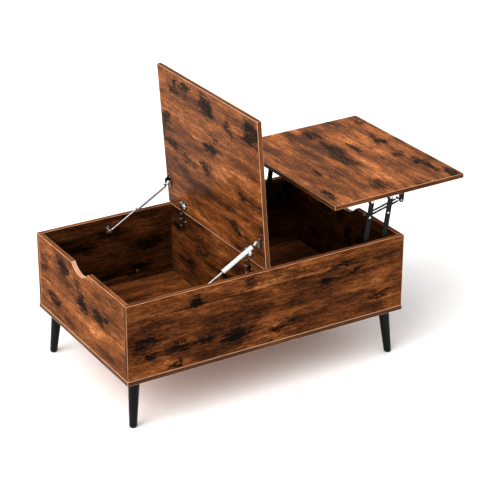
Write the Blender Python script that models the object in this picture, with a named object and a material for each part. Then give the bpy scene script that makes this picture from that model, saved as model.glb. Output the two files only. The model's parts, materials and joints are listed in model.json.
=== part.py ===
"""Lift top coffee table: a boxed table on four splayed legs, with two compartments under its top.

The left lid stands open on two cup hinges and two gas struts. The right top is raised and moved
to the right on two pairs of parallel arms, one pair inside each long panel, with twin tension
springs on each side. Everything is modelled at rest in that position, in metres, with +Z up.
"""

import math

import bmesh
import bpy
from mathutils import Matrix, Vector

# Carcass
LENGTH = 1.000
DEPTH = 0.616
BOARD = 0.015
PANEL_HEIGHT = 0.250
BASE_OVERHANG = 0.002
PARTITION_FROM_CENTRE = 0.010
ARRIS = 0.0006
NOTCH_WIDTH = 0.112
NOTCH_DEPTH = 0.027
NOTCH_SHOULDER = 0.006

# Legs
LEG_HEIGHT = 0.160
LEG_FOOT_INSET = 0.027
LEG_TOP_INSET = 0.041
LEG_TOP_RADIUS = 0.018
LEG_FOOT_RADIUS = 0.012
LEG_FOOT_ROUNDING = 0.0015
FOOT_PAD_RADIUS = 0.0095
FOOT_PAD_THICKNESS = 0.003
FOOT_PAD_CHAMFER = 0.0005
LEG_PLATE_SIZE = 0.050
LEG_PLATE_THICKNESS = 0.003
LEG_PLATE_ROUNDING = 0.006

# Tops
TOP_END_INSET = 0.004
TOP_SIDE_INSET = 0.001
SWING_CLEARANCE = 0.0008

# Lid and its cup hinges
LID_PIVOT_FROM_EDGE = 0.004
LID_PIVOT_FROM_FACE = 0.006
LID_OPEN = math.radians(85.75)
HINGE_FROM_SIDE = 0.100
CUP_RADIUS = 0.0175
CUP_DEPTH = 0.0112
CUP_WALL = 0.001
CUP_FROM_EDGE = 0.024
CUP_FLANGE_LENGTH = 0.052
CUP_FLANGE_WIDTH = 0.022
CUP_FLANGE_THICKNESS = 0.001
CUP_FLANGE_ROUNDING = 0.005
HINGE_PLATE_THICKNESS = 0.003
HINGE_PLATE_SPAN = 0.048
HINGE_PLATE_HEIGHT = 0.040
HINGE_PLATE_BAR = 0.014
HINGE_PLATE_ROUNDING = (0.004, 0.002, 0.003)
HINGE_ARM_WIDTH = 0.011
HINGE_ARM_THICKNESS = 0.0075
HINGE_ARM_LENGTH = 0.050
HINGE_ARM_BELOW_RIM = 0.0025
HINGE_ARM_ARRIS = 0.0008
LINK_WIDTH = 0.007
LINK_THICKNESS = 0.002
LINK_LENGTH = 0.026
LINK_TAIL = 0.0022
LINK_TAIL_ROOM = 0.0008
LINK_PIN_RADIUS = 0.0008
LINK_PIN_OFF_CENTRE = 0.0009

# Gas struts
STRUT_FROM_PANEL = 0.016
STRUT_REACH_ON_LID = 0.083
STRUT_BALL_BELOW_LID = 0.0107
STRUT_FOOT_FROM_PARTITION = 0.2355
STRUT_FOOT_BELOW_RIM = 0.0403
TUBE_RADIUS = 0.0075
TUBE_BORE_RADIUS = 0.0036
TUBE_LENGTH = 0.121
TUBE_CAP = 0.006
ROD_RADIUS = 0.003
ROD_IN_TUBE = 0.014
FITTING_RADIUS = 0.006
FITTING_WIDTH = 0.009
FITTING_LENGTH = 0.018
STUD_RADIUS = 0.0025
STUD_HEAD_RADIUS = 0.004
STUD_HEAD_LENGTH = 0.004
STRUT_CHAMFER = 0.001
FITTING_NECK_RADIUS = 0.0036
FITTING_OVERLAP = 0.001
ROD_NECK_SHORT = 0.002
LID_BRACKET_INSET = 0.001
LID_BRACKET_HALF = 0.019
LID_BRACKET_TIP_HALF = 0.008
LID_BRACKET_ROUNDING = 0.005
LID_BRACKET_FOOT = 0.012
LID_BRACKET_BELOW_BALL = 0.006
PANEL_BRACKET_HALF_WIDTH = 0.008
PANEL_BRACKET_HALF_HEIGHT = 0.013
PANEL_BRACKET_ROUNDING = 0.004
SHEET = 0.002

# Lift mechanism
ARM_LENGTH = 0.212
ARM_WIDTH = 0.018
ARM_THICKNESS = 0.003
ARM_SPACING = 0.0722
ARM_RAISED = math.radians(81.5)
RAISED_TILT = math.radians(0.60)
LOWER_PIVOT_FROM_END = 0.148
LOWER_PIVOT_BELOW_RIM = 0.0750
UPPER_PIVOT_BELOW_TOP = 0.0105
LAYER_GAP = 0.001
RAIL_LENGTH = 0.215
RAIL_TAIL = 0.011
RAIL_STRIP = 0.007
RAIL_FLANGE_WIDTH = 0.020
RAIL_TAPER = 0.0005
RAIL_FLANGE_SHORT = 0.008
TAB_ROUNDING = 0.007
RAIL_TAB_ROUND = 0.85
TAB_RUN_OUT = 0.004
SPRING_TAB_WALL = 0.004
RIVET_RADIUS = 0.004
RIVET_HEAD_RADIUS = 0.006
RIVET_HEAD = 0.002
RIVET_LOW_HEAD = 0.0007
RIVET_LOW_HEAD_RADIUS = 0.0055
RIVET_CHAMFER = 0.0006
PIVOT_CLEARANCE = 0.0006
BRACKET_LEFT = 0.030
BRACKET_RIGHT = 0.034
BRACKET_BELOW = 0.036
BRACKET_ABOVE = 0.014
BRACKET_RIGHT_ABOVE = 0.010
BRACKET_ROUNDING = 0.006
STOP_UP_ARM = 0.030
STOP_RADIUS = 0.003
STOP_EDGE = 0.007
SPRING_RADIUS = 0.00325
SPRING_PITCH = 0.015
SPRING_CLEARANCE = 0.0012
SPRING_TAPER = 0.004
SPRING_NECK = 0.6
SPRING_PIN_RADIUS = 0.003
SPRING_PIN_KNOB = 0.0042
SPRING_PIN_KNOB_WIDTH = 0.0018
SPRING_PIN_ROOT = 0.0016
SPRING_PIN_DOWN_ARM = 0.0535
SPRING_TAB_X = 0.117
SPRING_TAB_Z = -0.0235

# Fits and roundness
GAP = 0.0003
ROUND = 24
EYE = 16
SMALL = 12
ARRIS_ANGLE = math.radians(50)

# Worked out from the sizes above
RIM = LEG_HEIGHT + BOARD + GAP + PANEL_HEIGHT
INNER_DEPTH = DEPTH - 2 * BOARD
PARTITION_LEFT = -PARTITION_FROM_CENTRE - BOARD / 2
TOP_DEPTH = DEPTH - 2 * TOP_SIDE_INSET
# The lid's lower corner dips as it turns, so both tops sit this far over the rim.
LID_DIP = math.hypot(LID_PIVOT_FROM_EDGE, LID_PIVOT_FROM_FACE) - LID_PIVOT_FROM_FACE
SEAT_GAP = LID_DIP + GAP
LID_PIVOT = Vector((PARTITION_LEFT + LID_PIVOT_FROM_FACE, 0, RIM + SEAT_GAP + LID_PIVOT_FROM_FACE))
LID_EDGE = LID_PIVOT.x + LID_PIVOT_FROM_EDGE
LID_LENGTH = LID_EDGE + LENGTH / 2 - TOP_END_INSET
# Its upper corner swings to the right of its seat, and the other top starts clear of that.
LID_SWING = math.hypot(LID_PIVOT_FROM_EDGE, BOARD - LID_PIVOT_FROM_FACE)
TOP_LEFT = LID_PIVOT.x + LID_SWING + SWING_CLEARANCE
TOP_LENGTH = LENGTH / 2 - TOP_END_INSET - TOP_LEFT
HINGE_Y = DEPTH / 2 - HINGE_FROM_SIDE
HINGE_ARM_FACE = PARTITION_LEFT - GAP - HINGE_PLATE_THICKNESS - GAP
LINK_PIN = Vector(
    (
        HINGE_ARM_FACE - HINGE_ARM_THICKNESS / 2 + LINK_PIN_OFF_CENTRE,
        0,
        RIM - HINGE_ARM_BELOW_RIM - LINK_TAIL - LINK_TAIL_ROOM,
    )
)
STRUT_FOOT = Vector((PARTITION_LEFT - STRUT_FOOT_FROM_PARTITION, 0, RIM - STRUT_FOOT_BELOW_RIM))
BALL_IN_LID = Vector(
    (LID_PIVOT_FROM_EDGE - STRUT_REACH_ON_LID, 0, -LID_PIVOT_FROM_FACE - STRUT_BALL_BELOW_LID)
)
LOWER_PIVOT = Vector((LENGTH / 2 - LOWER_PIVOT_FROM_END, 0, RIM - LOWER_PIVOT_BELOW_RIM))
UPPER_PIVOT_CLOSED_Z = RIM + SEAT_GAP - UPPER_PIVOT_BELOW_TOP
ARM_CLOSED = math.pi - math.asin((UPPER_PIVOT_CLOSED_Z - LOWER_PIVOT.z) / ARM_LENGTH)
LIFT_TRAVEL = ARM_LENGTH * (math.cos(ARM_RAISED) - math.cos(ARM_CLOSED))
UPPER_PIVOT = LOWER_PIVOT + ARM_LENGTH * Vector((math.cos(ARM_RAISED), 0, math.sin(ARM_RAISED)))
PIVOT_FROM_TOP_LEFT = UPPER_PIVOT.x - LIFT_TRAVEL - TOP_LEFT

# Layers of the lift mechanism and the struts, counted inwards from a long panel's inner face
BRACKET_LAYER = (GAP, GAP + SHEET)
ARM_LAYER = (BRACKET_LAYER[1] + LAYER_GAP, BRACKET_LAYER[1] + LAYER_GAP + ARM_THICKNESS)
RAIL_LAYER = (ARM_LAYER[1] + LAYER_GAP, ARM_LAYER[1] + LAYER_GAP + SHEET)
SPRING_LAYER = RAIL_LAYER[1] + SPRING_CLEARANCE + SPRING_RADIUS
SPRING_PIN_REACH = SPRING_RADIUS + LAYER_GAP / 2 + SPRING_PIN_KNOB_WIDTH
SPRING_PIN_END = SPRING_LAYER + SPRING_PITCH + SPRING_PIN_REACH
STUD_END = STRUT_FROM_PANEL - FITTING_WIDTH / 2 - 2 * GAP

SIDES = {"front": -1, "back": 1}
ENDS = {"left": -1, "right": 1}

WOOD = ((0.32, 0.135, 0.055), 0.45, 0.0)
BLACK_STEEL = ((0.012, 0.012, 0.013), 0.35, 0.9)
BLACK_PAINT = ((0.014, 0.013, 0.013), 0.42, 0.0)
BLACK_PLASTIC = ((0.02, 0.02, 0.02), 0.6, 0.0)
CHROME = ((0.75, 0.75, 0.76), 0.18, 1.0)
GREY_TUBE = ((0.72, 0.73, 0.75), 0.25, 0.8)


def clear_scene():
    for obj in list(bpy.data.objects):
        bpy.data.objects.remove(obj, do_unlink=True)


def material(name, look):
    colour, roughness, metallic = look
    made = bpy.data.materials.new(name)
    made.use_nodes = True
    shader = made.node_tree.nodes["Principled BSDF"]
    shader.inputs["Base Color"].default_value = (*colour, 1)
    shader.inputs["Roughness"].default_value = roughness
    shader.inputs["Metallic"].default_value = metallic
    return made


def place(name, mesh, look, parent, location=(0, 0, 0), turn=0.0):
    """A node: its mesh placed under its parent, turned anticlockwise as seen from the front."""
    mesh.materials.append(material(name, look))
    return hang(bpy.data.objects.new(name, mesh), parent, location, turn)


def frame(name, parent, location, turn=0.0):
    """An empty that the pieces of one moving body hang from."""
    return hang(bpy.data.objects.new(name, None), parent, location, turn)


def hang(obj, parent, location, turn):
    obj.parent = parent
    obj.location = location
    obj.rotation_euler = (0, -turn, 0)
    bpy.context.collection.objects.link(obj)
    return obj


def mesh_from(bm, name):
    bmesh.ops.recalc_face_normals(bm, faces=bm.faces)
    mesh = bpy.data.meshes.new(name)
    bm.to_mesh(mesh)
    bm.free()
    return mesh


def smooth(mesh, degrees=35):
    mesh.shade_smooth()
    mesh.set_sharp_from_angle(angle=math.radians(degrees))
    return mesh


def block(name, low, high):
    """A box between two corners."""
    bm = bmesh.new()
    size = Vector(high) - Vector(low)
    centre = (Vector(high) + Vector(low)) / 2
    bmesh.ops.create_cube(bm, size=1, matrix=Matrix.Translation(centre) @ Matrix.Diagonal((*size, 1)))
    return mesh_from(bm, name)


def turned(name, profile, segments=ROUND):
    """A solid turned about Z from (radius, height) points that start and end on the axis."""
    bm = bmesh.new()
    points = [bm.verts.new((radius, 0, height)) for radius, height in profile]
    edges = [bm.edges.new(pair) for pair in zip(points, points[1:])]
    bmesh.ops.spin(
        bm, geom=points + edges, axis=(0, 0, 1), cent=(0, 0, 0), steps=segments, angle=2 * math.pi
    )
    bmesh.ops.remove_doubles(bm, verts=bm.verts, dist=1e-6)
    return smooth(mesh_from(bm, name))


def circle(x, z, radius, segments=SMALL):
    steps = [2 * math.pi * k / segments for k in range(segments)]
    return [(x + radius * math.cos(a), z + radius * math.sin(a)) for a in steps]


def arc(x, z, radius, start, end, steps):
    angles = [math.radians(start + (end - start) * k / steps) for k in range(steps + 1)]
    return [(x + radius * math.cos(a), z + radius * math.sin(a)) for a in angles]


def slot_outline(length, radius):
    """The outline of a bar with round ends about (0, 0) and (length, 0)."""
    return arc(length, 0, radius, -90, 90, 8) + arc(0, 0, radius, 90, 270, 8)


def rounded(corners, steps=3):
    """The outline through (x, z, radius) corners, each rounded by an arc."""
    outline = []
    count = len(corners)
    for k, (x, z, radius) in enumerate(corners):
        here = Vector((x, z))
        before = (Vector(corners[k - 1][:2]) - here).normalized()
        after = (Vector(corners[(k + 1) % count][:2]) - here).normalized()
        half = before.angle(after) / 2
        if radius == 0 or half > math.radians(89):
            outline.append((x, z))
            continue
        reach = radius / math.tan(half)
        centre = here + (before + after).normalized() * radius / math.sin(half)
        first = here + before * reach - centre
        last = here + after * reach - centre
        for step in range(steps + 1):
            spoke = first.lerp(last, step / steps).normalized() * radius
            outline.append(tuple(centre + spoke))
    return outline


def rectangle(half_width, half_height, radius):
    """Corners for rounded(), about the centre."""
    signs = ((1, -1), (1, 1), (-1, 1), (-1, -1))
    return [(sx * half_width, sz * half_height, radius) for sx, sz in signs]


def plate(name, outline, holes, thickness):
    """A flat plate in the XZ plane, centred on y = 0, with holes through it."""
    curve = bpy.data.curves.new(name, "CURVE")
    curve.dimensions = "2D"
    curve.fill_mode = "BOTH"
    curve.extrude = thickness / 2
    for points in [outline, *holes]:
        spline = curve.splines.new("POLY")
        spline.points.add(len(points) - 1)
        for point, (x, z) in zip(spline.points, points):
            point.co = (x, z, 0, 1)
        spline.use_cyclic_u = True
    guide = bpy.data.objects.new(name + "_guide", curve)
    mesh = bpy.data.meshes.new_from_object(guide)
    bpy.data.objects.remove(guide)
    bm = bmesh.new()
    bm.from_mesh(mesh)
    bmesh.ops.remove_doubles(bm, verts=bm.verts, dist=1e-6)
    bmesh.ops.transform(bm, matrix=Matrix.Rotation(math.pi / 2, 4, "X"), verts=bm.verts)
    return smooth(mesh_from(bm, name), 25)


def moved(mesh, matrix):
    mesh.transform(matrix)
    return mesh


def along_y(mesh):
    """Lays a turned mesh's axis from +Z onto +Y."""
    return moved(mesh, Matrix.Rotation(-math.pi / 2, 4, "X"))


def along_x(mesh):
    """Lays a turned mesh's axis from +Z onto +X."""
    return moved(mesh, Matrix.Rotation(math.pi / 2, 4, "Y"))


def combine(obj, mesh, operation):
    """Joins a mesh to a node, or cuts it from the node, by a Boolean modifier."""
    tool = bpy.data.objects.new(obj.name + "_tool", mesh)
    tool.parent = obj
    tool.hide_render = True
    tool.display_type = "WIRE"
    bpy.context.collection.objects.link(tool)
    modifier = obj.modifiers.new(operation.lower(), "BOOLEAN")
    modifier.operation = operation
    modifier.solver = "EXACT"
    modifier.object = tool


def arris(obj, width=ARRIS):
    """The small chamfer on a board's edges."""
    modifier = obj.modifiers.new("arris", "BEVEL")
    modifier.width = width
    modifier.segments = 1
    modifier.limit_method = "ANGLE"
    modifier.angle_limit = ARRIS_ANGLE
    return obj


def board(name, parent, low, high):
    return arris(place(name, block(name, low, high), WOOD, parent))


def inward(side, depth):
    """The y of a plane at this depth inside a long panel's inner face."""
    return side * (INNER_DEPTH / 2 - depth)


def layer(side, span):
    return inward(side, (span[0] + span[1]) / 2)


def end_panel_outline():
    """An end panel seen from its end, (y, z), with the finger notch in its top edge."""
    half = INNER_DEPTH / 2 - GAP
    radius = (NOTCH_WIDTH**2 / 4 + NOTCH_DEPTH**2) / (2 * NOTCH_DEPTH)
    centre = RIM - NOTCH_DEPTH + radius
    above = centre - RIM + NOTCH_SHOULDER
    shoulder = math.sqrt((radius + NOTCH_SHOULDER) ** 2 - above**2)
    lean = math.degrees(math.atan2(above, shoulder))
    low = RIM - PANEL_HEIGHT
    outline = [(-half, low), (half, low), (half, RIM)]
    outline += arc(shoulder, RIM - NOTCH_SHOULDER, NOTCH_SHOULDER, 90, 180 - lean, 3)
    outline += arc(0, centre, radius, -lean, -180 + lean, 14)[1:-1]
    outline += arc(-shoulder, RIM - NOTCH_SHOULDER, NOTCH_SHOULDER, lean, 90, 3)
    outline.append((-half, RIM))
    return outline


def carcass(table):
    floor = LEG_HEIGHT + BOARD
    low = floor + GAP
    x = LENGTH / 2
    y = DEPTH / 2
    over = BASE_OVERHANG
    board("base_board", table, (-x - over, -y - over, LEG_HEIGHT), (x + over, y + over, floor))
    board("front_panel", table, (-x, -y, low), (x, -y + BOARD, RIM))
    board("back_panel", table, (-x, y - BOARD, low), (x, y, RIM))
    inner = INNER_DEPTH / 2 - GAP
    board("partition", table, (PARTITION_LEFT, -inner, low), (PARTITION_LEFT + BOARD, inner, RIM))
    for end, sx in ENDS.items():
        name = end + "_end_panel"
        mesh = plate(name, end_panel_outline(), [], BOARD)
        moved(mesh, Matrix.Rotation(math.pi / 2, 4, "Z"))
        arris(place(name, mesh, WOOD, table, (sx * (x - BOARD / 2), 0, 0)))


def leg_mesh(lean_x, lean_y):
    """A tapered leg from the pad up to the mounting plate, leaning by a shear so both ends lie flat."""
    low = FOOT_PAD_THICKNESS + GAP
    top = LEG_HEIGHT - GAP - LEG_PLATE_THICKNESS - GAP
    edge = LEG_FOOT_ROUNDING
    foot = LEG_FOOT_RADIUS
    profile = [(0, top), (LEG_TOP_RADIUS, top)]
    profile += [*arc(foot - edge, low + edge, edge, 0, -90, 3), (0, low)]
    mesh = turned("leg", profile)
    for vertex in mesh.vertices:
        vertex.co.x += lean_x * vertex.co.z
        vertex.co.y += lean_y * vertex.co.z
    return mesh


def foot_pad_mesh():
    pad, radius, edge = FOOT_PAD_THICKNESS, FOOT_PAD_RADIUS, FOOT_PAD_CHAMFER
    profile = [(0, pad), (radius, pad), (radius, edge), (radius - edge, 0), (0, 0)]
    return turned("foot_pad", profile, EYE)


def leg_plate_mesh():
    half = LEG_PLATE_SIZE / 2
    outline = rounded(rectangle(half, half, LEG_PLATE_ROUNDING))
    mesh = plate("leg_plate", outline, [], LEG_PLATE_THICKNESS)
    return moved(mesh, Matrix.Rotation(math.pi / 2, 4, "X"))


def legs(table):
    lean = (LEG_TOP_INSET - LEG_FOOT_INSET) / LEG_HEIGHT
    for end, sx in ENDS.items():
        for side, sy in SIDES.items():
            corner = f"{side}_{end}"
            foot = (sx * (LENGTH / 2 - LEG_FOOT_INSET), sy * (DEPTH / 2 - LEG_FOOT_INSET), 0)
            place("leg_" + corner, leg_mesh(-sx * lean, -sy * lean), BLACK_PAINT, table, foot)
            place("foot_pad_" + corner, foot_pad_mesh(), BLACK_PLASTIC, table, foot)
            x = sx * (LENGTH / 2 - LEG_TOP_INSET)
            y = sy * (DEPTH / 2 - LEG_TOP_INSET)
            z = LEG_HEIGHT - GAP - LEG_PLATE_THICKNESS / 2
            place("leg_plate_" + corner, leg_plate_mesh(), BLACK_STEEL, table, (x, y, z))


def hinge_cup(lid_frame, side, y):
    """The cup let into the lid, with its flange on the underside. Gives the flange's centre."""
    corners = rectangle(CUP_FLANGE_WIDTH / 2, CUP_FLANGE_LENGTH / 2, CUP_FLANGE_ROUNDING)
    mesh = plate("hinge_cup", rounded(corners), [], CUP_FLANGE_THICKNESS)
    moved(mesh, Matrix.Rotation(math.pi / 2, 4, "X"))
    below = LID_PIVOT_FROM_FACE + GAP + CUP_FLANGE_THICKNESS / 2
    place_at = (LID_PIVOT_FROM_EDGE - CUP_FROM_EDGE, y, -below)
    cup = place("hinge_cup_" + side, mesh, CHROME, lid_frame, place_at)
    combine(cup, hinge_cup_outer(), "UNION")
    combine(cup, hinge_cup_inner(), "DIFFERENCE")
    return place_at


def hinge_cup_outer():
    profile = [(0, CUP_DEPTH), (CUP_RADIUS, CUP_DEPTH), (CUP_RADIUS, 0), (0, 0)]
    return turned("cup_outer", profile)


def hinge_cup_inner():
    top = CUP_DEPTH - CUP_WALL
    bottom = -2 * CUP_FLANGE_THICKNESS
    profile = [(0, top), (CUP_RADIUS - CUP_WALL, top), (CUP_RADIUS - CUP_WALL, bottom), (0, bottom)]
    return turned("cup_inner", profile)


def hinge_plate_mesh():
    """A cross-shaped mounting plate, seen from the compartment: one bar up and one across."""
    up = HINGE_PLATE_HEIGHT / 2
    span = HINGE_PLATE_SPAN / 2
    bar = HINGE_PLATE_BAR / 2
    tip, inside, end = HINGE_PLATE_ROUNDING
    quarter = [(span, bar, tip), (bar, bar, inside), (bar, up, end)]
    corners = quarter + [(-x, z, r) for x, z, r in reversed(quarter)]
    corners += [(-x, -z, r) for x, z, r in quarter]
    corners += [(x, -z, r) for x, z, r in reversed(quarter)]
    mesh = plate("hinge_plate", rounded(corners, 2), [], HINGE_PLATE_THICKNESS)
    return moved(mesh, Matrix.Rotation(math.pi / 2, 4, "Z"))


def hinge_arm(table, side, y):
    """The hinge arm on its mounting plate, with the link's pin across the slot in its top end."""
    face = HINGE_ARM_FACE
    top = RIM - HINGE_ARM_BELOW_RIM
    half = HINGE_ARM_WIDTH / 2
    low = (face - HINGE_ARM_THICKNESS, y - half, top - HINGE_ARM_LENGTH)
    mesh = block("hinge_arm", low, (face, y + half, top))
    obj = place("hinge_arm_" + side, mesh, CHROME, table)
    slot = LINK_WIDTH / 2 + GAP
    reach = 2 * HINGE_ARM_THICKNESS
    low = (face - reach, y - slot, LINK_PIN.z - LINK_TAIL - LINK_TAIL_ROOM - 2 * GAP)
    combine(obj, block("hinge_slot", low, (face + reach, y + slot, top + LINK_TAIL)), "DIFFERENCE")
    pin = LINK_PIN_RADIUS
    mesh = along_y(turned("hinge_pin", [(0, half), (pin, half), (pin, -half), (0, -half)], SMALL))
    combine(obj, moved(mesh, Matrix.Translation((LINK_PIN.x, y, LINK_PIN.z))), "UNION")
    arris(obj, HINGE_ARM_ARRIS)


def hinge_link(table, side, y):
    """The link that swings with the lid from the arm's pin to the cup's mouth."""
    half = LINK_THICKNESS / 2
    lean = math.degrees(math.asin(half / LINK_TAIL))
    outline = arc(0, 0, LINK_TAIL, lean - 180, 180 - lean, SMALL)
    outline += [(-LINK_LENGTH, half), (-LINK_LENGTH, -half)]
    hole = circle(0, 0, LINK_PIN_RADIUS + GAP)
    mesh = plate("hinge_link", outline, [hole], LINK_WIDTH)
    place("hinge_link_" + side, mesh, CHROME, table, (LINK_PIN.x, y, LINK_PIN.z), -LID_OPEN)


def lid(table):
    pivot = frame("lid_pivot", table, LID_PIVOT, -LID_OPEN)
    half = TOP_DEPTH / 2
    low = (LID_PIVOT_FROM_EDGE - LID_LENGTH, -half, -LID_PIVOT_FROM_FACE)
    high = (LID_PIVOT_FROM_EDGE, half, BOARD - LID_PIVOT_FROM_FACE)
    panel = board("lid", pivot, low, high)
    for side, sign in SIDES.items():
        y = sign * HINGE_Y
        place_at = hinge_cup(pivot, side, y)
        radius, top, below = CUP_RADIUS + GAP, CUP_DEPTH + GAP, -2 * CUP_FLANGE_THICKNESS
        mesh = turned("cup_recess", [(0, top), (radius, top), (radius, below), (0, below)])
        combine(panel, moved(mesh, Matrix.Translation(place_at)), "DIFFERENCE")
        mesh = hinge_plate_mesh()
        x = PARTITION_LEFT - GAP - HINGE_PLATE_THICKNESS / 2
        z = RIM - HINGE_ARM_BELOW_RIM - HINGE_ARM_LENGTH / 2
        place("hinge_plate_" + side, mesh, CHROME, table, (x, y, z))
        hinge_arm(table, side, y)
        hinge_link(table, side, y)
    return pivot


def stud_mesh(side, start, end):
    """A ball stud that points inwards, from its plate to the end of its head."""
    neck = end - STUD_HEAD_LENGTH
    head, edge = STUD_HEAD_RADIUS, STRUT_CHAMFER
    profile = [(0, end), (head - edge, end), (head, end - edge), (head, neck + edge)]
    profile += [(STUD_RADIUS, neck), (STUD_RADIUS, start), (0, start)]
    return from_panel(along_y(turned("stud", profile, SMALL)), side)


def fitting_mesh(reach):
    """The end fitting of a strut: a round eye about its pivot, and a neck along +X."""
    eye, rim, edge, neck = FITTING_WIDTH / 2, FITTING_RADIUS, STRUT_CHAMFER, FITTING_NECK_RADIUS
    profile = [(0, eye), (rim - edge, eye), (rim, eye - edge)]
    profile += [(radius, -height) for radius, height in reversed(profile)]
    bar = [(0, reach), (neck, reach), (neck, 0), (0, 0)]
    return along_y(turned("eye", profile, EYE)), along_x(turned("neck", bar, EYE))


def strut(table, pivot, side):
    """A gas strut at its full length: the tube hangs from the lid's stud, the rod stands on the panel's."""
    y = inward(SIDES[side], STRUT_FROM_PANEL)
    foot = (STRUT_FOOT.x, y, STRUT_FOOT.z)
    run = LID_PIVOT + Matrix.Rotation(LID_OPEN, 3, "Y") @ BALL_IN_LID - STRUT_FOOT
    angle = math.atan2(run.z, run.x)
    end = run.length - FITTING_LENGTH
    mouth = end - TUBE_LENGTH
    mesh = along_x(turned("tube", tube_profile(mouth, end)))
    tube = place("strut_tube_" + side, mesh, GREY_TUBE, table, foot, angle)
    flip = Matrix.Translation((run.length, 0, 0)) @ Matrix.Rotation(math.pi, 4, "Y")
    for mesh in fitting_mesh(FITTING_LENGTH + FITTING_OVERLAP):
        combine(tube, moved(mesh, flip), "UNION")
    tip, radius, edge = mouth + ROD_IN_TUBE, ROD_RADIUS, STRUT_CHAMFER / 2
    profile = [(0, tip), (radius - edge, tip), (radius, tip - edge), (radius, 0), (0, 0)]
    mesh = along_x(turned("rod", profile, EYE))
    rod = place("strut_rod_" + side, mesh, CHROME, table, foot, angle)
    for mesh in fitting_mesh(FITTING_LENGTH - ROD_NECK_SHORT):
        combine(rod, mesh, "UNION")
    lid_bracket(pivot, side)
    panel_bracket(table, side)


def tube_profile(mouth, end):
    """The strut's tube, from its closed end down to the mouth that the rod slides in."""
    radius, bore, edge = TUBE_RADIUS, TUBE_BORE_RADIUS, STRUT_CHAMFER
    outside = [(0, end), (radius - edge, end), (radius, end - edge)]
    outside += [(radius, mouth + edge), (radius - edge, mouth)]
    return outside + [(bore, mouth), (bore, end - TUBE_CAP), (0, end - TUBE_CAP)]


def panel_bracket(table, side):
    """The small plate on a long panel's inner face, with the stud for the strut's rod."""
    sign = SIDES[side]
    half_width, half_height = PANEL_BRACKET_HALF_WIDTH, PANEL_BRACKET_HALF_HEIGHT
    outline = rounded(rectangle(half_width, half_height, PANEL_BRACKET_ROUNDING))
    mesh = plate("panel_bracket", outline, [], SHEET)
    moved(mesh, Matrix.Translation((0, layer(sign, BRACKET_LAYER), 0)))
    obj = place("strut_panel_bracket_" + side, mesh, CHROME, table, STRUT_FOOT)
    combine(obj, stud_mesh(sign, SHEET / 2, STUD_END), "UNION")


def lid_bracket(pivot, side):
    """An angle bracket on the lid's underside, with the stud on its hanging flange."""
    sign = SIDES[side]
    middle = LID_BRACKET_INSET + SHEET / 2
    low = -LID_BRACKET_BELOW_BALL - GAP
    top = STRUT_BALL_BELOW_LID - GAP
    half, tip, radius = LID_BRACKET_HALF, LID_BRACKET_TIP_HALF, LID_BRACKET_ROUNDING
    corners = [(half, top, 0), (-half, top, 0), (-tip, low, radius), (tip, low, radius)]
    mesh = plate("lid_bracket", rounded(corners), [], SHEET)
    moved(mesh, Matrix.Translation((0, inward(sign, middle), 0)))
    obj = place("strut_lid_bracket_" + side, mesh, CHROME, pivot, BALL_IN_LID)
    ends = sorted((inward(sign, middle), inward(sign, middle + LID_BRACKET_FOOT)))
    combine(obj, block("foot", (-half, ends[0], top - SHEET), (half, ends[1], top)), "UNION")
    combine(obj, stud_mesh(sign, middle, STUD_END), "UNION")


def rivet_mesh(side, outer_head, span, inner_head):
    """A rivet across the layers of one side: (thickness, radius) of each head and the shank's span."""
    outer, inner = span
    thickness, radius = inner_head
    end = inner + thickness
    edge = min(RIVET_CHAMFER, thickness / 2)
    profile = [(0, end), (radius - edge, end), (radius, end - edge), (radius, inner)]
    profile += [(RIVET_RADIUS, inner), (RIVET_RADIUS, outer)]
    if outer_head:
        thickness, radius = outer_head
        outer -= thickness
        profile += [(radius, span[0]), (radius, outer)]
    profile.append((0, outer))
    return from_panel(along_y(turned("rivet", profile, SMALL)), side)


def from_panel(mesh, side):
    """Sets a mesh made along +Y from the panel's inner face on the front or the back side."""
    if side > 0:
        moved(mesh, Matrix.Rotation(math.pi, 4, "Z"))
    return moved(mesh, Matrix.Translation((0, inward(side, 0), 0)))


def pin_mesh(side, head_radius, start):
    """A spring pin: a shank inwards from its plate, with a knob at its end and a head at its root."""
    radius, knob, edge, end = SPRING_PIN_RADIUS, SPRING_PIN_KNOB, RIVET_CHAMFER, SPRING_PIN_END
    neck = end - SPRING_PIN_KNOB_WIDTH
    profile = [(0, end), (knob - edge, end), (knob, end - edge), (knob, neck)]
    profile += [(radius, neck), (radius, start)]
    if head_radius:
        root = start - SPRING_PIN_ROOT
        profile += [(head_radius, start), (head_radius, root), (0, root)]
    else:
        profile.append((0, start))
    return from_panel(along_y(turned("spring_pin", profile, SMALL)), side)


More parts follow.
